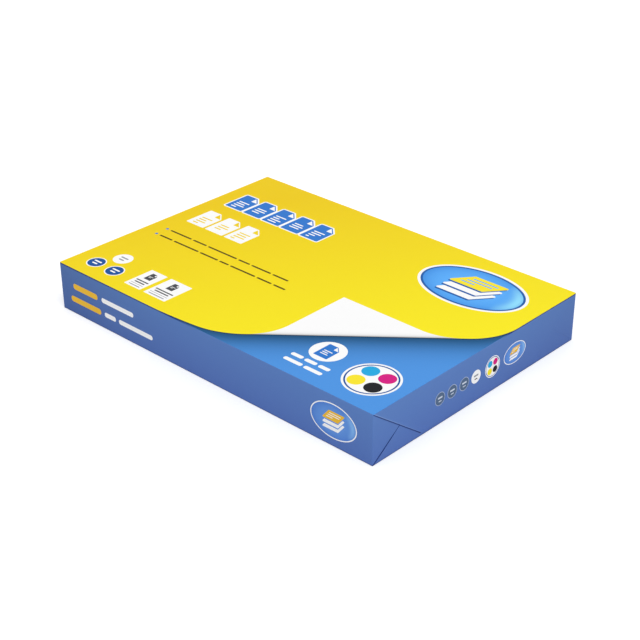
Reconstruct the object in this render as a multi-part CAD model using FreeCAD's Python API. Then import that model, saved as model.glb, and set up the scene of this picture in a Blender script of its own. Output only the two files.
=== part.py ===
import FreeCAD, Part
import math
import os

# A sealed ream of A3 copier paper lying flat, as one solid: sheets and wrapper are glued shut.
# Millimetres. +Z is up, +X runs along the long side, the origin is the middle of the underside.

# The stack of sheets inside
sheet_length = 420.0
sheet_width = 297.0
sheet_count = 500
sheet_thickness = 0.104

# The wrapper: one printed sheet, rolled round the stack about X and glued to itself underneath
wrapper_thickness = 0.1
glue_thickness = 0.05
edge_radius = 0.8  # outside, where the wrapper bends over an edge of the stack
seam_from_middle = 62.0  # from the middle of the underside to the edge of the glued lap
seam_line_width = 0.5  # the lap lies pressed flat, so that only its edge shows as a line
seam_line_depth = 0.12

# The end folds, alike at both ends: the sides are tucked in first, then the bottom flap is
# folded up over them and the top flap down over both
flap_length = 48.5  # wrapper left past the stack at each end
top_fold_angle = 37.0  # degrees between a flap's slanted edges and the edge that it hangs from
bottom_fold_angle = 35.5

# Worked out from the values above
height = sheet_count * sheet_thickness + 2 * wrapper_thickness
width = sheet_width + 2 * wrapper_thickness
tuck_length = sheet_length + 2 * wrapper_thickness  # over the tucked sides
flap_thickness = 2 * wrapper_thickness + glue_thickness  # its folded edge is two layers
bottom_flap_length = tuck_length + 2 * flap_thickness  # over the bottom flaps
top_flap_length = bottom_flap_length + 2 * flap_thickness  # over the top flaps, the full length


def rounded_block(length):
    """The pack's full section at a given length, every edge bent to the wrapper's radius."""
    corner = FreeCAD.Vector(-length / 2, -width / 2, 0)
    block = Part.makeBox(length, width, height, corner)
    return block.makeFillet(edge_radius, block.Edges)


def flap_prism(hinge_z, direction, angle):
    """A bar along X whose section is one flap: full width at the edge that it hangs from,
    narrowing at the fold's angle to its free edge. direction is +1 upwards and -1 downwards."""
    slope = math.tan(math.radians(angle))
    outline = []
    for distance in (-edge_radius, flap_length):
        half_width = width / 2 - distance / slope
        ends = [(-half_width, distance), (half_width, distance)]
        outline += ends if distance < 0 else reversed(ends)
    points = [FreeCAD.Vector(-top_flap_length, y, hinge_z + direction * d) for y, d in outline]
    face = Part.Face(Part.makePolygon(points + points[:1]))
    return face.extrude(FreeCAD.Vector(2 * top_flap_length, 0, 0))


def bottom_flaps():
    """Both bottom flaps, folded up over the tucked sides."""
    return rounded_block(bottom_flap_length).common(flap_prism(0, 1, bottom_fold_angle))


def top_flaps():
    """Both top flaps, folded down over the bottom flaps to just above the base."""
    return rounded_block(top_flap_length).common(flap_prism(height, -1, top_fold_angle))


def seam_line():
    """The line that the edge of the wrapper's lap makes along the underside."""
    corner = FreeCAD.Vector(-top_flap_length / 2, seam_from_middle, -seam_line_depth)
    return Part.makeBox(top_flap_length, seam_line_width, 2 * seam_line_depth, corner)


def wrapped_ream():
    """The whole pack: the tucked block, its folded flaps and the seam's line below."""
    pack = rounded_block(tuck_length).fuse([bottom_flaps(), top_flaps()])
    return pack.removeSplitter().cut(seam_line())


ream = wrapped_ream()
os.makedirs("parts", exist_ok=True)
ream.exportStep("parts/wrapped_ream.step")
box = ream.BoundBox
print("solids", len(ream.Solids), "valid", ream.isValid(), "faces", len(ream.Faces))
print("size", round(box.XLength, 3), round(box.YLength, 3), round(box.ZLength, 3))
print("volume", round(ream.Volume), "mm3")
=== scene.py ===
import math

import bmesh
import bpy
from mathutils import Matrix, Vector
from mathutils.geometry import delaunay_2d_cdt


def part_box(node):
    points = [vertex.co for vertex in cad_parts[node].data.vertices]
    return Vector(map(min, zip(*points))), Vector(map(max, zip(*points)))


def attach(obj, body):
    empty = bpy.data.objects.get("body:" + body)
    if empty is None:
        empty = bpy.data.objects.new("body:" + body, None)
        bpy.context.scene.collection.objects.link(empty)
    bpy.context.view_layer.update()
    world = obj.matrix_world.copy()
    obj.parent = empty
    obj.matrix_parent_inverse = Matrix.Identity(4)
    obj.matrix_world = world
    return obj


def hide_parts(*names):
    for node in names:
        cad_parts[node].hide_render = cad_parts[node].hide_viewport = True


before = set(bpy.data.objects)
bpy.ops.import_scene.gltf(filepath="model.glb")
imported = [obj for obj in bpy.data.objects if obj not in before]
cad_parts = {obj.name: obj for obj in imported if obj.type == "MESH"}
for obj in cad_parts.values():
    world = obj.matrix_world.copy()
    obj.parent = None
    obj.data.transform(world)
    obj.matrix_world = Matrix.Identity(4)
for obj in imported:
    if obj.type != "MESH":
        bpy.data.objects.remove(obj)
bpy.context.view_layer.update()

mm = 0.001  # sizes and places below are in millimetres, and meshes are made in metres
halfLength, halfWidth, height = (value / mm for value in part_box("wrapped_ream")[1])

ream = {
    "edgeRadius": 0.8,  # bend of the paper over the edges of the stack
    "flapStep": 0.25,  # each folded flap stands this far off the layer under it
    "flapLength": 48.5,
    "topFold": math.radians(37.0),  # slope of the slanted edges of the top flap
    "bottomFold": math.radians(35.5),
    "fieldDepth": 0.25,  # the top's colour fields are inlaid, flush with the paper
    "fieldGap": 0.05,  # the wrapper's own faces lie this far below them
    "smallPrintLift": 0.05,  # print on the sides stands this far off the paper
    "seamFromMiddle": 62.0,  # the lap's edge on the underside
    "seamWidth": 0.5,
}
edgeRadius = ream["edgeRadius"]
tuckHalf = halfLength - 2 * ream["flapStep"]  # the tucked sides lie under both flaps


# camera, from the photo's own perspective
camera = {
    "position": (0.8603, -0.9048, 0.6901),
    "azimuth": 43.208,
    "elevation": 28.806,
    "roll": -0.229,
    "lens": 79.907,
}
azimuth, elevation = math.radians(camera["azimuth"]), math.radians(camera["elevation"])
cameraData = bpy.data.cameras.new("photo_camera")
cameraData.lens = camera["lens"]
cameraData.sensor_width = 36.0
cameraData.clip_start = 0.05
cameraObject = bpy.data.objects.new("photo_camera", cameraData)
bpy.context.scene.collection.objects.link(cameraObject)
cameraObject.location = camera["position"]
cameraObject.rotation_euler = (math.pi / 2 - elevation, 0, azimuth)
cameraObject.rotation_euler.rotate_axis("Z", math.radians(camera["roll"]))
bpy.context.scene.camera = cameraObject
print("camera set")


# shader nodes: arithmetic on a wire adds Math nodes
class Wire:
    def __init__(self, tree, socket):
        self.tree, self.socket = tree, socket

    def math(self, operation, *others):
        return self.tree.node("Math", {"operation": operation}, {0: self, **dict(enumerate(others, 1))})

    def __add__(self, other):
        return self.math("ADD", other)

    def __sub__(self, other):
        return self.math("SUBTRACT", other)

    def __rsub__(self, other):
        return self.tree.node("Math", {"operation": "SUBTRACT"}, {0: other, 1: self})

    def __mul__(self, other):
        return self.math("MULTIPLY", other)

    def __truediv__(self, other):
        return self.math("DIVIDE", other)

    __radd__ = __add__
    __rmul__ = __mul__


class Tree:
    def __init__(self, nodeTree):
        self.nodes, self.links = nodeTree.nodes, nodeTree.links

    # settings go on the node first, then the values or wires of its sockets
    def node(self, kind, settings, sockets, output=0):
        made = self.nodes.new("ShaderNode" + kind)
        for name, value in settings.items():
            setattr(made, name, value)
        for key, value in sockets.items():
            socket = next((s for s in made.inputs if s.identifier == key), None) or made.inputs[key]
            if isinstance(value, Wire):
                self.links.new(value.socket, socket)
            else:
                socket.default_value = value
        return Wire(self, made.outputs[output])

    def mix(self, factor, first, second):
        return self.node("Mix", {"data_type": "RGBA"},
                         {"Factor_Float": factor, "A_Color": first, "B_Color": second}, 2)

    def scaled(self, colour, tone):
        vector = colour if isinstance(colour, Wire) else colour[:3]
        return self.node("VectorMath", {"operation": "SCALE"}, {"Vector": vector, "Scale": tone})

    def noise(self, place, size, detail=2.0):
        return self.node("TexNoise", {}, {"Vector": place, "Scale": 1 / (size * mm), "Detail": detail})


def srgb(red, green, blue):
    shares = [value / 255 for value in (red, green, blue)]
    return (*(v / 12.92 if v <= 0.04 else ((v + 0.055) / 1.055) ** 2.4 for v in shares), 1.0)


paper = {
    "grain": 0.45,  # size of the paper's grain
    "grainHeight": 0.006,
    "wave": 55.0,  # the wrapper isn't drawn quite flat over the stack
    "waveHeight": 0.22,
    "fleck": 1.7,  # size of the ink's flecks
    "mottle": 0.03,  # unevenness of the ink
    "roughness": 0.42,
    "glossMottle": 0.12,
    "specular": 0.04,
}


# coated paper with one ink on it; paint(tree, x, y, z) may give a colour that changes over it
def printedPaper(name, colour, paint=None, roughness=paper["roughness"]):
    material = bpy.data.materials.new(name)
    material.use_nodes = True
    tree = Tree(material.node_tree)
    shader = next(n for n in tree.nodes if n.type == "BSDF_PRINCIPLED")
    place = tree.node("TexCoord", {}, {}, 3)
    grain = tree.noise(place, paper["grain"], 3.0)
    cloud = tree.noise(place, paper["wave"], 1.0)
    fleck = tree.noise(place, paper["fleck"])
    if paint:
        split = tree.node("SeparateXYZ", {}, {0: place})
        x, y, z = (Wire(tree, split.socket.node.outputs[i]) / mm for i in range(3))
        colour = paint(tree, x, y, z)
    tone = 1 + (fleck - 0.5) * paper["mottle"] + (grain - 0.5) * paper["mottle"]
    ink = tree.scaled(colour, tone)
    relief = (grain * paper["grainHeight"] + cloud * paper["waveHeight"]) * mm
    bump = tree.node("Bump", {}, {"Height": relief, "Distance": 1.0, "Strength": 1.0})
    gloss = roughness + (fleck - 0.5) * paper["glossMottle"]
    tree.links.new(ink.socket, shader.inputs["Base Color"])
    tree.links.new(bump.socket, shader.inputs["Normal"])
    tree.links.new(gloss.socket, shader.inputs["Roughness"])
    shader.inputs["Specular IOR Level"].default_value = paper["specular"]
    return material


sagitta = 0.02  # an outline's chords lie at most this far inside its bends


# outlines in a panel's own plane, from corners with the radius of each
def roundedOutline(corners):
    points = []
    for index, (x, y, radius) in enumerate(corners):
        corner = Vector((x, y))
        if not radius:
            points.append(corner)
            continue
        before = (Vector(corners[index - 1][:2]) - corner).normalized()
        after = (Vector(corners[(index + 1) % len(corners)][:2]) - corner).normalized()
        turn = math.pi - before.angle(after)
        centre = corner + (before + after).normalized() * radius / math.cos(turn / 2)
        arm = corner + before * radius * math.tan(turn / 2) - centre
        direction = 1 if before.x * after.y - before.y * after.x < 0 else -1
        steps = math.ceil(turn / (2 * math.acos(1 - sagitta / max(radius, 4 * sagitta))))
        for step in range(steps + 1):
            angle = math.atan2(arm.y, arm.x) + direction * turn * step / steps
            points.append(centre + radius * Vector((math.cos(angle), math.sin(angle))))
    # a plain corner may lie where the arc beside it ends, and one of the two points is left out
    pairs = zip([points[-1]] + points, points)
    return [point for last, point in pairs if (point - last).length > 0.001]


def bar(left, bottom, right, top, radius=0.0):
    corners = [(left, bottom), (right, bottom), (right, top), (left, top)]
    return roundedOutline([(*corner, radius) for corner in corners])


def oval(x, y, halfX, halfY):
    steps = max(20, math.ceil(math.pi / math.acos(1 - sagitta / max(halfX, halfY))))
    angles = [2 * math.pi * step / steps for step in range(steps)]
    return [Vector((x + halfX * math.cos(a), y + halfY * math.sin(a))) for a in angles]


def disc(x, y, radius):
    return oval(x, y, radius, radius)


# a panel is cut into triangles, and each goes to the uppermost outline that covers it
def cutPanel(outlines):
    points, loops = [], []
    for outline in outlines:
        loops.append(list(range(len(points), len(points) + len(outline))))
        points += outline
    spots, _, triangles, _, _, covers = delaunay_2d_cdt(points, [], loops, 0, 1e-4)
    cells = {}
    for triangle, cover in zip(triangles, covers):
        if cover:
            first, second, third = (spots[i] for i in triangle)
            clockwise = (second - first).cross(third - first) < 0
            corners = reversed(triangle) if clockwise else triangle
            cells.setdefault(max(cover), []).append(tuple(corners))
    return spots, cells


plates = {}  # for each ink, the stretches of print that it has on the panels


# place(u, v, depth) puts a point of the panel on the ream; the print reaches from front to back.
# printing lists inks and outlines, with the centre and size of the sign that an outline is part of
def printPanel(place, printing, front, back):
    spots, cells = cutPanel([entry[1] for entry in printing])
    byInk = {}
    for index, triangles in cells.items():
        ink, _, *centre = printing[index]
        byInk.setdefault((ink, *centre), []).extend(triangles)
    for (ink, *centre), triangles in byInk.items():
        if ink:
            centre = centre[0] if centre else (0.0, 0.0, 1.0)
            plates.setdefault(ink, []).append((place, spots, triangles, front, back, centre))


def finishMesh(name, bm, material):
    mesh = bpy.data.meshes.new(name)
    bm.to_mesh(mesh)
    bm.free()
    mesh.materials.append(material)
    piece = bpy.data.objects.new(name, mesh)
    bpy.context.scene.collection.objects.link(piece)
    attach(piece, "root")
    return piece


def buildInk(name, material):
    bm = bmesh.new()
    signPlace = bm.loops.layers.uv.new("sign")  # the place on the plaque that a stretch is part of
    for place, spots, triangles, front, back, (centreX, centreY, size) in plates[name]:
        centre, wide = Vector((centreX, centreY)), size * plaque["wide"]
        tops, bottoms = {}, {}
        for spot in sorted({spot for triangle in triangles for spot in triangle}):
            tops[spot] = bm.verts.new(Vector(place(*spots[spot], front)) * mm)
            bottoms[spot] = bm.verts.new(Vector(place(*spots[spot], back)) * mm)
        sides = {(t[i], t[(i + 1) % 3]) for t in triangles for i in range(3)}
        for triangle in triangles:
            face = bm.faces.new([tops[spot] for spot in triangle])
            for loop, spot in zip(face.loops, triangle):
                loop[signPlace].uv = (spots[spot] - centre) / wide
            bm.faces.new([bottoms[spot] for spot in reversed(triangle)])
        for start, end in sorted(side for side in sides if side[::-1] not in sides):
            bm.faces.new([tops[end], tops[start], bottoms[start], bottoms[end]])
    return finishMesh(name, bm, material)


# where the print of each side of the ream goes
def clamp(value, limit):
    return max(-limit, min(limit, value))


def topPlace(u, v, depth):
    middle = Vector((clamp(u, halfLength - edgeRadius), clamp(v, halfWidth - edgeRadius)))
    over = Vector((u, v)) - middle  # past the flat, the sheet bends by its own arc length
    turn, reach = over.length / edgeRadius, edgeRadius - depth
    side = over.normalized() * reach * math.sin(turn)
    return middle.x + side.x, middle.y + side.y, height - edgeRadius + reach * math.cos(turn)


def flatPlace(origin, across, up):
    origin, across, up = Vector(origin), Vector(across), Vector(up)
    normal = across.cross(up)
    return lambda u, v, depth: origin + across * u + up * v - normal * depth


frontPlace = flatPlace((0, -halfWidth, 0), (1, 0, 0), (0, 0, 1))
backPlace = flatPlace((0, halfWidth, 0), (-1, 0, 0), (0, 0, 1))
rightPlace = flatPlace((halfLength, 0, 0), (0, 1, 0), (0, 0, 1))
leftPlace = flatPlace((-halfLength, 0, 0), (0, -1, 0), (0, 0, 1))
underPlace = flatPlace((0, 0, 0), (-1, 0, 0), (0, 1, 0))


# printed motifs, all plain shapes
root2 = math.sqrt(2)  # a standard sheet's long side over its short one


# shares of a page's height, but for the corner's radius, which is that of a page 40 high
pages = {"corner": 1.4, "ear": 0.26, "fold": 0.05, "margin": 0.14, "line": 0.055, "pitch": 0.125}


# a standing page with a folded corner and some lines on it
def pageSign(left, bottom, tall, ink, markInk, lines=(), rimInk=None, rim=0.0):
    wide, cut = tall / root2, tall * pages["ear"]
    shapes = []
    for colour, grow in ((rimInk, rim), (ink, 0.0)):
        if colour:
            lowX, highX = left - grow, left + wide + grow
            lowY, highY = bottom - grow, bottom + tall + grow
            slip = cut + grow * (2 - root2)
            bend = pages["corner"] * tall / 40 + grow
            shapes.append((colour, roundedOutline([
                (lowX, lowY, bend), (highX, lowY, bend), (highX, highY - slip, bend / 2),
                (highX - slip, highY, bend / 2), (lowX, highY, bend)])))
    gap, right, top = tall * pages["fold"], left + wide, bottom + tall
    foldX, foldY = right - cut - gap * 0.3, top - cut - gap * 0.3
    shapes.append((markInk, roundedOutline([
        (foldX, top - gap * 0.7, 0.3), (foldX, foldY, tall * 0.02), (right - gap * 0.7, foldY, 0.3)])))
    margin, thick = tall * pages["margin"], tall * pages["line"]
    start, level = left + margin, top - cut - tall * 0.2
    for share in lines:
        end = start + (wide - 2 * margin) * share
        shapes.append((markInk, bar(start, level - thick, end, level, thick * 0.4)))
        level -= tall * pages["pitch"]
    return shapes


headline = {
    "left": -189.0, "base": 61.0, "tall": 35.0, "gap": 3.4, "rim": 1.7,
    "lines": ((1.0, 0.8, 1.0, 0.5), (0.9, 1.0, 0.7), (1.0, 0.6, 1.0, 0.8), (0.8, 1.0, 0.9),
              (1.0, 0.9, 0.6, 0.3)),
    "lowerBase": 4.2, "lowerTall": 36.5, "lowerGap": 3.0,
    "lowerLines": ((1.0, 0.7, 0.9, 0.5), (0.8, 1.0, 0.6), (1.0, 0.9, 1.0, 0.4)),
}


# a row of pages in place of each line of the headline
def headlinePages():
    shapes, left, tall = [], headline["left"], headline["tall"]
    for lines in headline["lines"]:
        shapes += pageSign(left, headline["base"], tall, "headline_blue", "print_white",
                           lines, "print_white", headline["rim"])
        left += tall / root2 + headline["gap"]
    left, tall = headline["left"], headline["lowerTall"]
    for lines in headline["lowerLines"]:
        shapes += pageSign(left, headline["lowerBase"], tall, "print_white", "yellow_field", lines)
        left += tall / root2 + headline["lowerGap"]
    return shapes


# thickness of the bars that stand for words, and the gap between two
wordStyles = {"small": (2.3, 2.8), "light": (5.2, 4.8), "bold": (6.4, 4.8), "badge": (4.6, 2.6)}


# a line of print, with the length of the bar for each word
def wordBars(left, middle, ink, style, words):
    shapes, (thick, gap) = [], wordStyles[style]
    low, high = middle - thick / 2, middle + thick / 2
    for word in words:
        shapes.append((ink, bar(left, low, left + word, high, thick * 0.45)))
        left += word + gap
    return shapes


smallPrint = {
    "lines": ((-22.7, (32, 20, 42, 16, 27, 21)), (-37.9, (19, 37, 26, 13, 35, 20, 16))),
    "left": -183.1, "bulletLeft": -188.6, "bulletRadius": 1.8,
    "discs": ((-167.9, -100.8, "print_white", "print_grey"),
              (-182.0, -123.7, "print_navy", "print_white"),
              (-153.8, -123.8, "print_navy", "print_white")),
    "discRadius": 10.5,
    "discInside": 0.885,  # share of the radius that the coloured part takes
    "marks": ((0.12, 0.5, 0.2), (-0.32, 0.34, 0.2)),  # each bar's rise, half length and thickness
    "labels": ((-127.5, -133.8, -104.2, -97.1), (-98.7, -133.8, -68.2, -97.1)),
}


# bars across a disc; rise, half length, thickness and rounding are shares of its radius
def discBars(x, y, radius, bars, rounding):
    shapes = []
    for ink, rise, reach, thick in bars:
        outline = bar(x - radius * reach, y + radius * rise, x + radius * reach,
                      y + radius * (rise + thick), radius * rounding)
        shapes.append((ink, outline))
    return shapes


# a white disc, or a coloured one with a white rim
def discSign(x, y, radius, ink, markInk):
    shapes = [("print_white", disc(x, y, radius))]
    if ink != "print_white":
        shapes.append((ink, disc(x, y, radius * smallPrint["discInside"])))
    bars = [(markInk, *size) for size in smallPrint["marks"]]
    return shapes + discBars(x, y, radius, bars, 0.08)


label = {
    "corner": 0.8,
    "page": (4.6, 19.0, 13.0),  # reach to the left of the middle, rise and height
    "bars": (  # ink, rise, share of the width and thickness
        ("print_black", 13.0, 1.0, 1.8), ("print_black", 9.2, 0.8, 1.8),
        ("print_grey", 6.2, 1.0, 0.7), ("print_grey", 2.6, 0.9, 1.3),
    ),
    "margin": 3.0,
}


# a white label with a page over four bars
def labelSign(left, bottom, right, top):
    shapes = [("print_white", bar(left, bottom, right, top, label["corner"]))]
    middle, wide = (left + right) / 2, right - left - 2 * label["margin"]
    reach, rise, tall = label["page"]
    shapes += pageSign(middle - reach, bottom + rise, tall, "print_black", "print_white", (1.0, 0.6))
    for ink, rise, share, thick in label["bars"]:
        low, half = bottom + rise, wide * share / 2
        shapes.append((ink, bar(middle - half, low, middle + half, low + thick, thick * 0.3)))
    return shapes


plaque = {
    "wide": 121.0, "tall": 79.0, "rim": 3.0, "edge": 2.4,
    "sheetWide": 42.0, "sheetDeep": 22.0, "slant": 18.0, "sheetRise": 10.5, "sheetShade": 2.7,
    "lines": ((0.7, 0.72), (0.48, 0.72), (0.26, 0.4)),  # on the top sheet: how far back, and length
    "lineFrom": 0.72, "lineThick": 1.7, "lineSlant": 1.4,
}
topPlaqueInks = ("print_white", "plaque_edge", "plaque_sky", "print_yellow")
sidePlaqueInks = ("print_white", "plaque_side", "plaque_side", "print_orange")


# an oval plaque with a sign of three sheets lying on each other
def plaqueSign(x, y, wide, inks, rim=plaque["rim"]):
    size = wide / plaque["wide"]
    rimInk, edgeInk, bodyInk, sheetInk = inks
    shapes, inset = [], 0.0

    def add(ink, corners, radius):
        outline = roundedOutline([(x + u * size, y + v * size, radius * size) for u, v in corners])
        shapes.append((ink, outline, (x, y, size)))

    for ink, border in ((rimInk, rim), (edgeInk, plaque["edge"]), (bodyInk, 0.0)):
        halfX, halfY = plaque["wide"] / 2 - inset, plaque["tall"] / 2 - inset
        shapes.append((ink, oval(x, y, halfX * size, halfY * size), (x, y, size)))
        inset += border
    half, slant, deep = plaque["sheetWide"] / 2, plaque["slant"] / 2, plaque["sheetDeep"]
    for index in range(3):
        rise = (index - 1) * plaque["sheetRise"] - deep / 2
        topInk = sheetInk if index == 2 else "print_white"
        for ink, drop in ((edgeInk, plaque["sheetShade"]), (topInk, 0.0)):
            add(ink, [(-half - slant, rise - drop), (half - slant, rise - drop),
                      (half + slant, rise + deep - drop), (-half + slant, rise + deep - drop)], 1.6)
    lineInk = "print_white" if sheetInk == "print_orange" else "plaque_sky"
    for level, reach in plaque["lines"]:
        start, low = -half * plaque["lineFrom"] + (level - 0.5) * 2 * slant, rise + deep * level
        end, high, lean = start + 2 * half * reach, low + plaque["lineThick"], plaque["lineSlant"]
        add(lineInk, [(start, low), (end, low), (end + lean, high), (start + lean, high)], 0.5)
    return shapes


inkDots = {"ring": 0.92, "inside": 0.86, "reach": 0.36, "dot": 0.31}  # shares of the sign's radius


# a white disc with four plain dots of printing ink
def inkDotSign(x, y, radius):
    shapes = [("print_white", disc(x, y, radius)), ("print_navy", disc(x, y, radius * inkDots["ring"])),
              ("print_white", disc(x, y, radius * inkDots["inside"]))]
    reach, dot = radius * inkDots["reach"], radius * inkDots["dot"]
    dots = (("ink_cyan", -1, 1), ("ink_magenta", 1, 1), ("print_yellow", -1, -1), ("ink_black", 1, -1))
    for ink, across, up in dots:
        shapes.append((ink, disc(x + across * reach, y + up * reach, dot)))
    return shapes


turned = {
    "frontMeets": 6.4,  # where the roll of the turned corner meets the front edge
    "rightMeets": 24.6,  # and where it meets the right edge
    "wideRadius": 465.0,  # the sheet leaves the front edge in a wide bend
    "wideTurn": math.radians(7.0),
    "frontRadius": 84.0,  # that tightens before the roll
    "rightRadius": 58.7,
    "tip": (52.0, -10.5),
    "leftRadius": 51.7,
    "upperRadius": 60.1,
}
rollStart = Vector((turned["frontMeets"], -halfWidth))
rollEnd = Vector((halfLength, turned["rightMeets"]))
rollAlong = (rollEnd - rollStart).normalized()
rollOut = Vector((rollAlong.y, -rollAlong.x))  # towards the corner that shows under the sheet
rollAngle = math.atan2(rollAlong.y, rollAlong.x)

# corners of the sheet's outline before they are rounded, and how far each bend reaches from its corner
frontTurn = rollAngle - turned["wideTurn"]
wideReach = turned["wideRadius"] * math.tan(turned["wideTurn"] / 2)
frontReach = turned["frontRadius"] * math.tan(frontTurn / 2)
rightReach = turned["rightRadius"] * math.tan((math.pi / 2 - rollAngle) / 2)
between = (wideReach + frontReach) / math.sin(rollAngle)
wideCorner = rollStart - Vector((between * math.sin(frontTurn), 0))
frontCorner = rollStart + rollAlong * between * math.sin(turned["wideTurn"])


# the yellow sheet, its corner turned up along the roll
def yellowOutline():
    far = 5.0  # past the panel's edge, where the panel itself ends the field
    return roundedOutline([
        (-halfLength - far, -halfWidth, 0), (*wideCorner, turned["wideRadius"]),
        (*frontCorner, turned["frontRadius"]), (*rollEnd, turned["rightRadius"]),
        (halfLength, halfWidth + far, 0), (-halfLength - far, halfWidth + far, 0)])


# the white back of the turned corner, whose two sides run out along the roll
def turnedOutline():
    tipX, tipY = turned["tip"]
    lower = rollStart + rollAlong * (tipX - rollStart.x) / rollAlong.x
    upper = rollStart + rollAlong * (tipY - rollStart.y) / rollAlong.y
    lowerReach = turned["leftRadius"] * math.tan((math.pi / 2 - rollAngle) / 2)
    upperReach = turned["upperRadius"] * math.tan(rollAngle / 2)
    return roundedOutline([
        (tipX, tipY, 0), (*lower, turned["leftRadius"]), (*(lower - rollAlong * lowerReach), 0),
        (*(upper + rollAlong * upperReach), 0), (*upper, turned["upperRadius"])])


topSigns = {
    "plaque": (130.5, 88.5, 121.7),  # centre and width
    "pageDisc": (111.7, -97.2, 17.6),  # centre and radius
    "page": (103.5, -108.7, 23.0),  # left, bottom and height
    "pageLines": (1.0, 0.7, 0.9),
    "badge": ((-120.8, (14, 14, 13)), (-130.6, (22, 21))),
    "badgeLeft": 89.0,
    "inkDots": (171.8, -106.6, 27.0),  # centre and radius
}


# the top's colour fields, and the print on them
def topPrinting():
    bend = edgeRadius * math.pi / 4  # the top's print ends half-way round the ream's edges
    shapes = []
    for share in (1.0, 0.75, 0.5, 0.25, 0.0):  # these outlines cut the panel where it bends
        wide, deep = halfLength - edgeRadius + bend * share, halfWidth - edgeRadius + bend * share
        shapes.append(("sky_corner", bar(-wide, -deep, wide, deep, bend * share)))
    shapes += [("yellow_field", yellowOutline()), ("turned_corner", turnedOutline())]
    shapes += headlinePages()
    for middle, words in smallPrint["lines"]:
        shapes += wordBars(smallPrint["left"], middle, "text_dark", "small", words)
        bullet = disc(smallPrint["bulletLeft"], middle, smallPrint["bulletRadius"])
        shapes.append(("headline_blue", bullet))
    for x, y, ink, markInk in smallPrint["discs"]:
        shapes += discSign(x, y, smallPrint["discRadius"], ink, markInk)
    for corners in smallPrint["labels"]:
        shapes += labelSign(*corners)
    shapes += plaqueSign(*topSigns["plaque"], topPlaqueInks)
    shapes.append(("print_white", disc(*topSigns["pageDisc"])))
    shapes += pageSign(*topSigns["page"], "headline_blue", "print_white", topSigns["pageLines"])
    for middle, words in topSigns["badge"]:
        shapes += wordBars(topSigns["badgeLeft"], middle, "print_white", "badge", words)
    shapes += inkDotSign(*topSigns["inkDots"])
    return shapes


sideSigns = {
    "lines": (  # left end, middle, ink, style and words
        (-190.4, 31.8, "print_orange", "bold", (38,)),
        (-146.0, 31.8, "print_white", "light", (48,)),
        (-195.4, 16.7, "print_orange", "bold", (47,)),
        (-142.8, 16.7, "print_white", "light", (17, 50)),
    ),
    "plaque": (165.2, 25.9, 54.3),  # centre and width
    "rim": 2.4,
}


# the long sides carry two lines of bars and a small plaque
def sidePrinting():
    shapes = [(None, bar(-halfLength, 0, halfLength, height))]
    for line in sideSigns["lines"]:
        shapes += wordBars(*line)
    return shapes + plaqueSign(*sideSigns["plaque"], sidePlaqueInks, sideSigns["rim"])


discRow = {
    "count": 4, "first": -59.3, "pitch": 17.2, "rise": 27.0,
    "radius": 6.8, "rim": 0.55, "thick": 0.1,
    "faceLift": 1.8, "markLift": 3,  # heights of the faces and marks over the rims' lift
    "marks": (  # ink, ink on the last disc, and each bar's rise, half length and thickness
        ("print_pale", "print_grey", 0.05, 0.46, 0.24),
        ("print_pale", "text_dark", -0.42, 0.3, 0.14),
    ),
}


# two small bars on each disc
def discMarks():
    shapes = [(None, bar(-halfWidth, 0, halfWidth, height))]
    radius, rise = discRow["radius"], discRow["rise"]
    for index in range(discRow["count"]):
        x = discRow["first"] + index * discRow["pitch"]
        last = index == discRow["count"] - 1
        bars = [(lastInk if last else ink, *size) for ink, lastInk, *size in discRow["marks"]]
        shapes += discBars(x, rise, radius, bars, 0.06)
    return shapes


endSigns = {
    "inkDots": (16.9, 26.9, 11.0),  # centre and radius
    "plaque": (50.9, 27.2, 33.8),
    "rim": 2.8,
}


# the short sides carry a row of discs, the dots of ink and a small plaque
def endPrinting():
    shapes = [(None, bar(-halfWidth, 0, halfWidth, height))]
    shapes += inkDotSign(*endSigns["inkDots"])
    return shapes + plaqueSign(*endSigns["plaque"], sidePlaqueInks, endSigns["rim"])


def underPrinting():
    wide, deep = tuckHalf - edgeRadius, halfWidth - edgeRadius
    lap = ream["seamFromMiddle"]
    return [("underside", bar(-wide, -deep, wide, deep)),
            (None, bar(-wide, lap, wide, lap + ream["seamWidth"]))]


lift = ream["smallPrintLift"]
printPanel(topPlace, topPrinting(), 0.0, ream["fieldDepth"])
for place in (frontPlace, backPlace):
    printPanel(place, sidePrinting(), -lift, 2 * lift)
for place in (rightPlace, leftPlace):
    printPanel(place, endPrinting(), -lift, 2 * lift)
    printPanel(place, discMarks(), -discRow["markLift"] * lift, lift)
printPanel(underPlace, underPrinting(), 0.0, ream["fieldDepth"])
print("print laid out in", len(plates), "inks")


# inks and how they change over the fields
skyPrint = {
    "colour": srgb(80, 150, 227),
    "shade": srgb(0, 62, 98),  # cast by the roll on the blue past it
    "shadeReach": 23.0,
    "shadeDepth": 0.9,
    "core": srgb(0, 20, 40),  # right beside the roll
    "coreReach": 1.3,
    "coreDepth": 0.8,
}
turnedPrint = {"colour": srgb(252, 252, 252), "shadeReach": 2.2, "shadeDepth": 0.64}
yellowPrint = {
    "deep": srgb(238, 203, 14),
    "bright": srgb(252, 239, 34),
    "towards": (0.8, -0.6),  # the way in which it brightens
    "reach": 190.0,  # as far as this on each side of the middle
}


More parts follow.
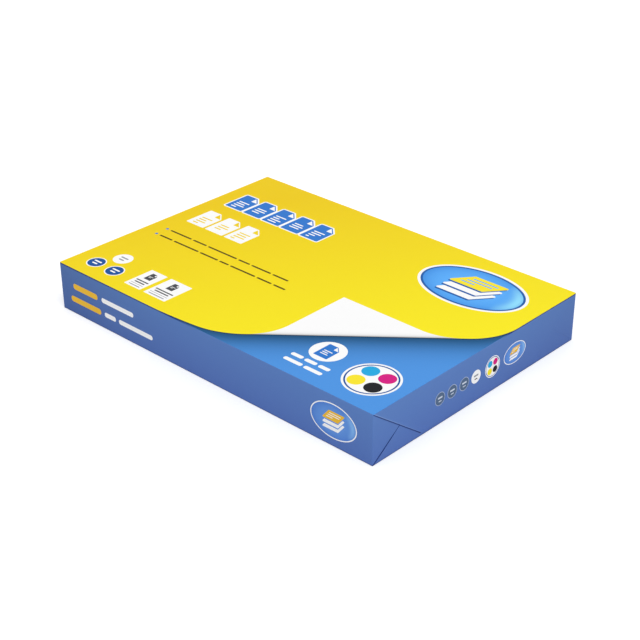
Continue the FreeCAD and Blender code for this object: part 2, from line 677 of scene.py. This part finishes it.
# distance past the edge of the yellow sheet, whose roll runs out in bends at both ends;
# along the front and right edges of the ream it is 0 as far as the sheet reaches them
def pastSheet(x, y):
    x = x.math("MAXIMUM", wideCorner.x - wideReach)
    y = y.math("MINIMUM", rollEnd.y + rightReach)
    front = frontCorner + rollAlong * frontReach - rollOut * turned["frontRadius"]
    wide = wideCorner + Vector((-wideReach, turned["wideRadius"]))
    right = rollEnd - rollAlong * rightReach - rollOut * turned["rightRadius"]
    wideWay = Vector((-math.cos(turned["wideTurn"]), -math.sin(turned["wideTurn"])))
    bends = ((front, "frontRadius", -rollAlong), (wide, "wideRadius", wideWay),
             (right, "rightRadius", rollAlong))
    distance = (x - rollStart.x) * rollOut.x + (y - rollStart.y) * rollOut.y
    for centre, name, way in bends:
        across, up = x - centre.x, y - centre.y
        beyond = (across * way.x + up * way.y).math("GREATER_THAN", 0.0)
        spread = across.math("POWER", 2.0) + up.math("POWER", 2.0)
        distance = distance * (1 - beyond) + (spread.math("SQRT") - turned[name]) * beyond
    return distance


# 1 on a line and 0 well off it, with a flatter middle for a higher power
def band(distance, wide, power=4.0):
    return ((distance / wide).math("POWER", power) * -1).math("EXPONENT")


# the roll of the corner shades the blue past it, and the white before it
def paintSky(tree, x, y, z):
    past = pastSheet(x, y).math("MAXIMUM", 0.0)
    shade = band(past, skyPrint["shadeReach"], 1.4) * skyPrint["shadeDepth"]
    core = band(past, skyPrint["coreReach"], 2.0) * skyPrint["coreDepth"]
    shaded = tree.mix(shade, skyPrint["colour"], skyPrint["shade"])
    return tree.mix(core, shaded, skyPrint["core"])


def paintTurned(tree, x, y, z):
    before = (pastSheet(x, y) * -1).math("MAXIMUM", 0.0)
    shade = band(before, turnedPrint["shadeReach"], 1.0) * turnedPrint["shadeDepth"]
    return tree.scaled(turnedPrint["colour"], 1 - shade)


def paintYellow(tree, x, y, z):
    right, back = yellowPrint["towards"]
    share = (x * right + y * back) / (2 * yellowPrint["reach"]) + 0.5
    share = share.math("MINIMUM", 1.0).math("MAXIMUM", 0.0)
    return tree.mix(share, yellowPrint["deep"], yellowPrint["bright"])


# lighter in the middle, with a curved gleam inside the edge at the right
def paintPlaque(light, dark, gleam):
    def paint(tree, x, y, z):
        sign = tree.node("UVMap", {"uv_map": "sign"}, {})
        split = tree.node("SeparateXYZ", {}, {0: sign}).socket.node.outputs
        across, up = Wire(tree, split[0]), Wire(tree, split[1])
        ring = (across * 2.0).math("POWER", 2.0) + (up * 3.0).math("POWER", 2.0)
        body = tree.mix(ring.math("POWER", 2.0).math("MINIMUM", 1.0), light, dark)
        right = ((across + up * 0.2 - 0.26) * 6).math("MAXIMUM", 0.0).math("MINIMUM", 1.0)
        return tree.mix(band(ring.math("SQRT") - 0.81, 0.13, 2.0) * right, body, gleam)
    return paint


sidePaper = {
    # painted light and shade: the blue is darker low down, and lighter higher up and at the right end
    "low": srgb(85, 115, 183), "high": srgb(92, 128, 191),
    "rightTone": 1.05,
    "leftShade": 0.27,  # painted shade: the blue is darker towards the left end
    "backShade": 0.12,  # and painted shade towards the back
    "line": srgb(18, 38, 106),  # colour of the painted shade along the folds, at the foot and below the yellow sheet
    # painted shade: a dark line along the foot of the sides
    "footShadeWide": 1.2,
    "footShade": 0.6,
    "sheetWide": 1.4,  # painted shadow: the dark line below the yellow sheet
    "sheetShadeFade": 2.5,  # which fades out as the sheet's edge leaves the ream's
    # painted shadow along the slanted edges of the bottom and top flaps
    "bottomWide": 0.6,
    "bottomCrease": 1.0,
    "cornerCrease": 0.7,  # painted shade: the bottom flap's own edge is darker towards the corner
    "cornerRise": 14.0,
    "topWide": 0.85,
    "topCrease": 0.9,
    "farCrease": 0.05,  # the painted shade and highlight at the folds of the other corner of each end are weaker, as those folds lie flatter
    "foldHighlight": srgb(140, 168, 218),  # painted highlight: a lighter line along the fold of the top flap
    "foldHighlightWide": 0.45,
}


# painted shade: blue that is darker downwards, towards the left end and towards the back, with thin
# painted shade lines at the foot and below the yellow sheet
def paintSide(tree, x, y, z):
    left = ((halfLength - x) / (2 * halfLength)).math("POWER", 3.0)
    back = ((y + halfWidth) / (2 * halfWidth)).math("POWER", 2.0)
    tone = (sidePaper["rightTone"] - left * sidePaper["leftShade"]) * (1 - back * sidePaper["backShade"])
    colour = tree.scaled(tree.mix(z / height, sidePaper["low"], sidePaper["high"]), tone)
    # painted shadow of the yellow sheet's edge along the top of the sides
    underSheetShade = band(pastSheet(x, y).math("MAXIMUM", 0.0), sidePaper["sheetShadeFade"], 2.0)
    # painted shade along the foot
    footShade = band(z, sidePaper["footShadeWide"]) * sidePaper["footShade"]
    edge = footShade + band(height - z, sidePaper["sheetWide"]) * underSheetShade
    return tree.mix(edge, colour, sidePaper["line"])


# distances across the slanted folds at the ends, and how strongly their painted shade and highlight show
def foldLines(x, y, z):
    fromSide = halfWidth - y.math("ABSOLUTE")
    overBottom = z * math.cos(ream["bottomFold"]) - fromSide * math.sin(ream["bottomFold"])
    underTop = (height - z) * math.cos(ream["topFold"]) - fromSide * math.sin(ream["topFold"])
    near = (x * y).math("LESS_THAN", 0.0) * (1 - sidePaper["farCrease"]) + sidePaper["farCrease"]
    return overBottom, underTop, near


# painted shadow: dark lines on the paper below, along the slanted edges of the folded flaps
def paintWrapper(tree, x, y, z):
    overBottom, underTop, near = foldLines(x, y, z)
    atEnd = x.math("ABSOLUTE").math("GREATER_THAN", tuckHalf - 0.05)
    colour = paintSide(tree, x, y, z)
    # painted shadow beside the edges of both flaps
    for distance, name in ((overBottom, "bottom"), (underTop, "top")):
        foldShade = band(distance, sidePaper[name + "Wide"]) * near * sidePaper[name + "Crease"]
        colour = tree.mix(foldShade * atEnd, colour, sidePaper["line"])
    return colour


# painted shadow of the top flap's edge on the bottom flap, and painted shade along the bottom flap's own
# edge near the corner
def paintBottomFlap(tree, x, y, z):
    overBottom, underTop, near = foldLines(x, y, z)
    foldShade = band(underTop, sidePaper["topWide"]) * sidePaper["topCrease"]
    beside = z.math("GREATER_THAN", height - ream["flapLength"])  # the top flap reaches down to here
    atCorner = (1 - z / sidePaper["cornerRise"]).math("MAXIMUM", 0.0) * sidePaper["cornerCrease"]
    line = foldShade * beside + band(overBottom, sidePaper["bottomWide"]) * atCorner
    return tree.mix(line * near, paintSide(tree, x, y, z), sidePaper["line"])


# painted highlight along the top flap's fold, stronger higher up
def paintTopFlap(tree, x, y, z):
    underTop, near = foldLines(x, y, z)[1:]
    foldHighlight = band(underTop + sidePaper["foldHighlightWide"], sidePaper["foldHighlightWide"]) * near
    return tree.mix(foldHighlight * z * (0.5 / height), paintSide(tree, x, y, z), sidePaper["foldHighlight"])


inks = {
    "yellow_field": printedPaper("yellow print", None, paintYellow),
    "turned_corner": printedPaper("white print with roll shade", None, paintTurned),
    "sky_corner": printedPaper("sky blue print", None, paintSky),
    # the underside takes the sides' paint, so the painted shade of the foot line darkens all of it
    "underside": printedPaper("plain blue underside", None, paintSide),
    "headline_blue": printedPaper("mid blue print", srgb(48, 120, 205)),
    "print_white": printedPaper("bare white coating", srgb(252, 252, 252)),
    "print_grey": printedPaper("grey print", srgb(150, 153, 160)),
    "print_black": printedPaper("soft black print", srgb(72, 74, 80)),
    "print_navy": printedPaper("navy print", srgb(22, 82, 156)),
    "print_orange": printedPaper("orange yellow print", srgb(240, 190, 60)),
    "print_yellow": printedPaper("lemon print", srgb(250, 230, 50)),
    "plaque_edge": printedPaper("deep blue print", srgb(34, 94, 168)),
    "plaque_sky": printedPaper("light blue print", None, paintPlaque(
        srgb(94, 176, 252), srgb(50, 128, 216), srgb(150, 226, 255))),
    "plaque_side": printedPaper("blue print on the sides", None, paintPlaque(
        srgb(102, 152, 226), srgb(74, 120, 206), srgb(134, 186, 242))),
    "text_dark": printedPaper("dark brown print", srgb(72, 44, 4)),
    "print_pale": printedPaper("pale marks", srgb(206, 216, 232)),
    "ink_cyan": printedPaper("cyan ink", srgb(40, 170, 225)),
    "ink_magenta": printedPaper("magenta ink", srgb(215, 30, 130)),
    "ink_black": printedPaper("black ink", srgb(30, 30, 34)),
}
for name, material in inks.items():
    buildInk(name, material)
print("printed fields made")


# the wrapper over the stack's sides: rings of a rounded rectangle, one above the other
def ringPoints(halfX, halfY, radius, z):
    corners = [(-halfX, -halfY), (halfX, -halfY), (halfX, halfY), (-halfX, halfY)]
    points = []
    for index, (x, y) in enumerate(corners):
        centre = Vector((math.copysign(abs(x) - radius, x), math.copysign(abs(y) - radius, y)))
        for step in range(7):
            angle = math.radians(180 + 90 * index + 15 * step)
            points.append((centre.x + radius * math.cos(angle), centre.y + radius * math.sin(angle), z))
    return points


def buildWrapper(material):
    floor = ream["fieldDepth"] + ream["fieldGap"]
    rings = [(edgeRadius, floor)]
    for turn in range(0, 91, 15):
        turn = math.radians(turn)
        rings.append((edgeRadius * (1 - math.sin(turn)), edgeRadius * (1 - math.cos(turn))))
    for turn in (0, 15, 30, 45):
        turn = math.radians(turn)
        rings.append((edgeRadius * (1 - math.cos(turn)), height - edgeRadius * (1 - math.sin(turn))))
    inner = (edgeRadius - floor) * math.sin(math.radians(45))
    rings += [(edgeRadius - inner, height - edgeRadius + inner), (edgeRadius, height - floor)]
    bm = bmesh.new()
    loops = []
    for inset, z in rings:
        spots = ringPoints(tuckHalf - inset, halfWidth - inset, max(edgeRadius - inset, 0.02), z)
        loops.append([bm.verts.new(Vector(spot) * mm) for spot in spots])
    for lower, upper in zip(loops, loops[1:]):
        for index in range(len(lower)):
            after = (index + 1) % len(lower)
            bm.faces.new([lower[index], lower[after], upper[after], upper[index]])
    bm.faces.new(list(reversed(loops[0])))
    bm.faces.new(loops[-1])
    bmesh.ops.recalc_face_normals(bm, faces=bm.faces)
    return finishMesh("wrapper", bm, material)


wrapperMaterial = printedPaper("wrapper paper with painted fold shadows", None, paintWrapper)
wrapper = buildWrapper(wrapperMaterial)
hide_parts("wrapped_ream")
print("wrapper made")


# the folded flaps: two layers of paper with a rounded fold along both slanted edges
flaps = {
    "foldRound": 0.35,  # how far in from the fold the paper reaches its full thickness
    "edgeLift": 0.3,  # the folds spring up a little from the layer below
    "liftReach": 2.6,
    "foldBulge": 0.14,
    "bulgeReach": 1.1,
    "farShare": 0.2,  # the folds at the far corner are pressed flatter
    "freeLift": 0.12,  # at the flap's cut edge
    "freeReach": 6.0,
    "rows": 24,
    # distances of the mesh's columns from the fold, and how many more there are up to the flap's middle
    "columns": [0.0, 0.05, 0.12, 0.22, 0.35, 0.55, 0.85, 1.3, 1.9, 2.8, 4.0, 6.0, 9.0],
    "middleColumns": 14,
}


def ease(value, start, end):
    share = max(0.0, min(1.0, (value - start) / (end - start)))
    return share * share * (3 - 2 * share)


def buildFlap(name, end, fromTop, material):
    angle = ream["topFold"] if fromTop else ream["bottomFold"]
    step, length = ream["flapStep"], ream["flapLength"]
    layer = 2 if fromTop else 1
    plane = halfLength - (2 - layer) * step  # the flap's outer face
    turns = [math.radians(turn) for turn in ((45, 60, 75, 90) if fromTop else (0, 30, 60, 90))]
    rows = [(edgeRadius * (1 - math.cos(turn)), turn) for turn in turns]
    for row in range(1, flaps["rows"] + 1):
        rows.append((edgeRadius + (length - edgeRadius) * (row / flaps["rows"]), math.pi / 2))

    # inner and outer height of the paper over the tucked side; the top flap also lies on the bottom one,
    # and the bottom flap's folds are held flat where the top flap covers them
    def layers(down, y, fromEdge):
        under = 0.0
        if fromTop:
            fold, fromSide = ream["bottomFold"], halfWidth - abs(y)
            pastFold = fromSide * math.sin(fold) - (height - down) * math.cos(fold)
            under = step * ease(pastFold, -2.0, 2.5)
        hold = ease(down, 0.5, 9.0) * (1 if fromTop else 1 - ease(down, 16.0, 23.0))
        hold *= 1 if y < 0 else flaps["farShare"]
        rise = flaps["edgeLift"] * math.exp(-(fromEdge / flaps["liftReach"]) ** 2) * hold
        rise += flaps["freeLift"] * ease(down, length - flaps["freeReach"], length) if fromTop else 0.0
        fill = min(fromEdge / flaps["foldRound"], 1.0)
        bulge = flaps["foldBulge"] * hold * math.exp(-(fromEdge / flaps["bulgeReach"]) ** 2)
        thick = (step + bulge) * math.sqrt(fill * (2 - fill))
        middle = under + rise + (step - thick) * 0.3
        return middle, middle + thick

    def spot(down, turn, y, level):
        reach = edgeRadius + level - layer * step
        x = plane - edgeRadius + reach * math.sin(turn)
        straight = max(0.0, down - edgeRadius)
        drop = edgeRadius - reach * math.cos(turn) + straight
        z = height - drop if fromTop else drop
        return bm.verts.new(Vector((x * end, y * end, z)) * mm)

    bm = bmesh.new()
    grids = ([], [])
    for down, turn in rows:
        half = halfWidth - max(down, 0.02) / math.tan(angle)
        near, steps = flaps["columns"], flaps["middleColumns"]
        rest = half * math.sin(angle) - near[-1]
        fromEdges = near + [near[-1] + rest * k / steps for k in range(1, steps + 1)]
        columns = [(-(half - e / math.sin(angle)), e) for e in fromEdges]
        columns += [(-y, e) for y, e in reversed(columns[:-1])]
        for level, grid in enumerate(grids):
            grid.append([spot(down, turn, y, layers(down, y, e)[level]) for y, e in columns])
    for grid in grids:
        for upper, lower in zip(grid, grid[1:]):
            for index in range(len(upper) - 1):
                bm.faces.new([upper[index], upper[index + 1], lower[index + 1], lower[index]])
    for row in (0, -1):
        inner, outer = grids[0][row], grids[1][row]
        for index in range(len(inner) - 1):
            bm.faces.new([inner[index], inner[index + 1], outer[index + 1], outer[index]])
    bmesh.ops.remove_doubles(bm, verts=bm.verts, dist=0.001 * mm)
    bmesh.ops.recalc_face_normals(bm, faces=bm.faces)
    piece = finishMesh(name, bm, material)
    piece.data.shade_smooth()
    piece.data.set_sharp_from_angle(angle=math.radians(50))
    return piece


bottomFlapMaterial = printedPaper("bottom flap paper", None, paintBottomFlap)
topFlapMaterial = printedPaper("top flap paper", None, paintTopFlap)
for end, side in ((1, "right"), (-1, "left")):
    buildFlap("bottom_flap_" + side, end, False, bottomFlapMaterial)
    buildFlap("top_flap_" + side, end, True, topFlapMaterial)
print("folded ends made")


# the discs themselves are repeated along a line by nodes
def discRowTree():
    tree = bpy.data.node_groups.new("disc row", "GeometryNodeTree")
    sockets = (("Count", "NodeSocketInt"), ("Pitch", "NodeSocketFloat"), ("Radius", "NodeSocketFloat"),
               ("Thickness", "NodeSocketFloat"), ("Material", "NodeSocketMaterial"))
    for name, kind in sockets:
        tree.interface.new_socket(name, in_out="INPUT", socket_type=kind)
    tree.interface.new_socket("Geometry", in_out="OUTPUT", socket_type="NodeSocketGeometry")
    given = tree.nodes.new("NodeGroupInput").outputs
    result = tree.nodes.new("NodeGroupOutput").inputs
    step = tree.nodes.new("ShaderNodeCombineXYZ")
    line = tree.nodes.new("GeometryNodeMeshLine")
    plate = tree.nodes.new("GeometryNodeMeshCylinder")
    plate.inputs["Vertices"].default_value = 64
    copies = tree.nodes.new("GeometryNodeInstanceOnPoints")
    realize = tree.nodes.new("GeometryNodeRealizeInstances")
    finish = tree.nodes.new("GeometryNodeSetMaterial")
    for source, target in (
        (given["Pitch"], step.inputs["X"]), (given["Count"], line.inputs["Count"]),
        (step.outputs[0], line.inputs["Offset"]), (given["Radius"], plate.inputs["Radius"]),
        (given["Thickness"], plate.inputs["Depth"]), (line.outputs[0], copies.inputs["Points"]),
        (plate.outputs["Mesh"], copies.inputs["Instance"]), (copies.outputs[0], realize.inputs[0]),
        (realize.outputs[0], finish.inputs["Geometry"]), (given["Material"], finish.inputs["Material"]),
        (finish.outputs[0], result["Geometry"]),
    ):
        tree.links.new(source, target)
    return tree


def buildDiscRow(tree, name, place, first, count, radius, raised, material):
    holder = bpy.data.objects.new(name, bpy.data.meshes.new(name))
    bpy.context.scene.collection.objects.link(holder)
    modifier = holder.modifiers.new("disc row", "NODES")
    modifier.node_group = tree
    values = {"Count": count, "Pitch": discRow["pitch"], "Radius": radius,
              "Thickness": discRow["thick"], "Material": material}
    for item in tree.interface.items_tree:
        if item.in_out == "INPUT":
            modifier[item.identifier] = values[item.name]
    evaluated = holder.evaluated_get(bpy.context.evaluated_depsgraph_get())
    mesh = bpy.data.meshes.new_from_object(evaluated)
    holder.modifiers.remove(modifier)
    holder.data = mesh
    for vertex in mesh.vertices:
        u, v, out = vertex.co
        vertex.co = place(first + u, discRow["rise"] + v, discRow["thick"] / 2 - raised - out) * mm
    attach(holder, "root")
    return holder


rowTree = discRowTree()
paleRim = printedPaper("pale rim print", srgb(176, 190, 216))
dullBlue = printedPaper("dull blue print", srgb(86, 108, 138))
first, blueDiscs, radius = discRow["first"], discRow["count"] - 1, discRow["radius"]
last = first + discRow["pitch"] * blueDiscs
for side, place in (("right", rightPlace), ("left", leftPlace)):
    buildDiscRow(rowTree, "disc_rims_" + side, place, first, blueDiscs, radius, lift, paleRim)
    buildDiscRow(rowTree, "disc_faces_" + side, place, first, blueDiscs,
                 radius - discRow["rim"], lift * discRow["faceLift"], dullBlue)
    buildDiscRow(rowTree, "disc_white_" + side, place, last, 1, radius, lift, inks["print_white"])
print("disc rows made")


# a white floor, and light that shows colours as they are written
studio = {
    "world": 0.67,
    "floor": (232, 232, 232),
    "floorGlow": 0.35,
    "floorRadius": 6.0,  # in metres
    "suns": (  # name, azimuth, elevation, strength and size
        ("key", 70, 60, 0.9, 30.0),
        ("fill", 20, 70, 0.28, 60.0),
    ),
}


# 1 for what the camera sees, also in a gloss or through glass, and 0 for light on the ream
def seenDirectly(tree):
    ray = tree.node("LightPath", {}, {}).socket.node.outputs
    kinds = ("Is Camera Ray", "Is Glossy Ray", "Is Transmission Ray")
    seen, gloss, glass = (Wire(tree, ray[kind]) for kind in kinds)
    return (seen + gloss + glass).math("MINIMUM", 1.0)


def buildFloor():
    bm = bmesh.new()
    bmesh.ops.create_circle(bm, cap_ends=True, segments=96, radius=studio["floorRadius"])
    mesh = bpy.data.meshes.new("studio_floor")
    bm.to_mesh(mesh)
    bm.free()
    floor = bpy.data.objects.new("studio_floor", mesh)
    bpy.context.scene.collection.objects.link(floor)
    material = bpy.data.materials.new("white floor")
    material.use_nodes = True
    tree = Tree(material.node_tree)
    shader = next(n for n in tree.nodes if n.type == "BSDF_PRINCIPLED")
    shader.inputs["Base Color"].default_value = srgb(*studio["floor"])
    shader.inputs["Roughness"].default_value = 0.9
    shader.inputs["Specular IOR Level"].default_value = 0.0
    shader.inputs["Emission Color"].default_value = (1, 1, 1, 1)
    glow = seenDirectly(tree) * studio["floorGlow"]
    tree.links.new(glow.socket, shader.inputs["Emission Strength"])
    mesh.materials.append(material)


def buildWorld():
    world = bpy.data.worlds.new("studio")
    bpy.context.scene.world = world
    world.use_nodes = True
    tree = Tree(world.node_tree)
    backdrop = next(n for n in tree.nodes if n.type == "BACKGROUND")
    backdrop.inputs["Color"].default_value = (1, 1, 1, 1)
    strength = seenDirectly(tree) * (1 - studio["world"]) + studio["world"]
    tree.links.new(strength.socket, backdrop.inputs["Strength"])


def addSun(name, azimuth, elevation, strength, size):
    sun = bpy.data.lights.new(name, "SUN")
    sun.energy = strength
    sun.angle = math.radians(size)
    lamp = bpy.data.objects.new(name, sun)
    bpy.context.scene.collection.objects.link(lamp)
    lamp.rotation_euler = (math.radians(90 - elevation), 0, math.radians(azimuth))


buildFloor()
buildWorld()
for sun in studio["suns"]:
    addSun(*sun)
bpy.context.scene.view_settings.view_transform = "Standard"
print("studio set")
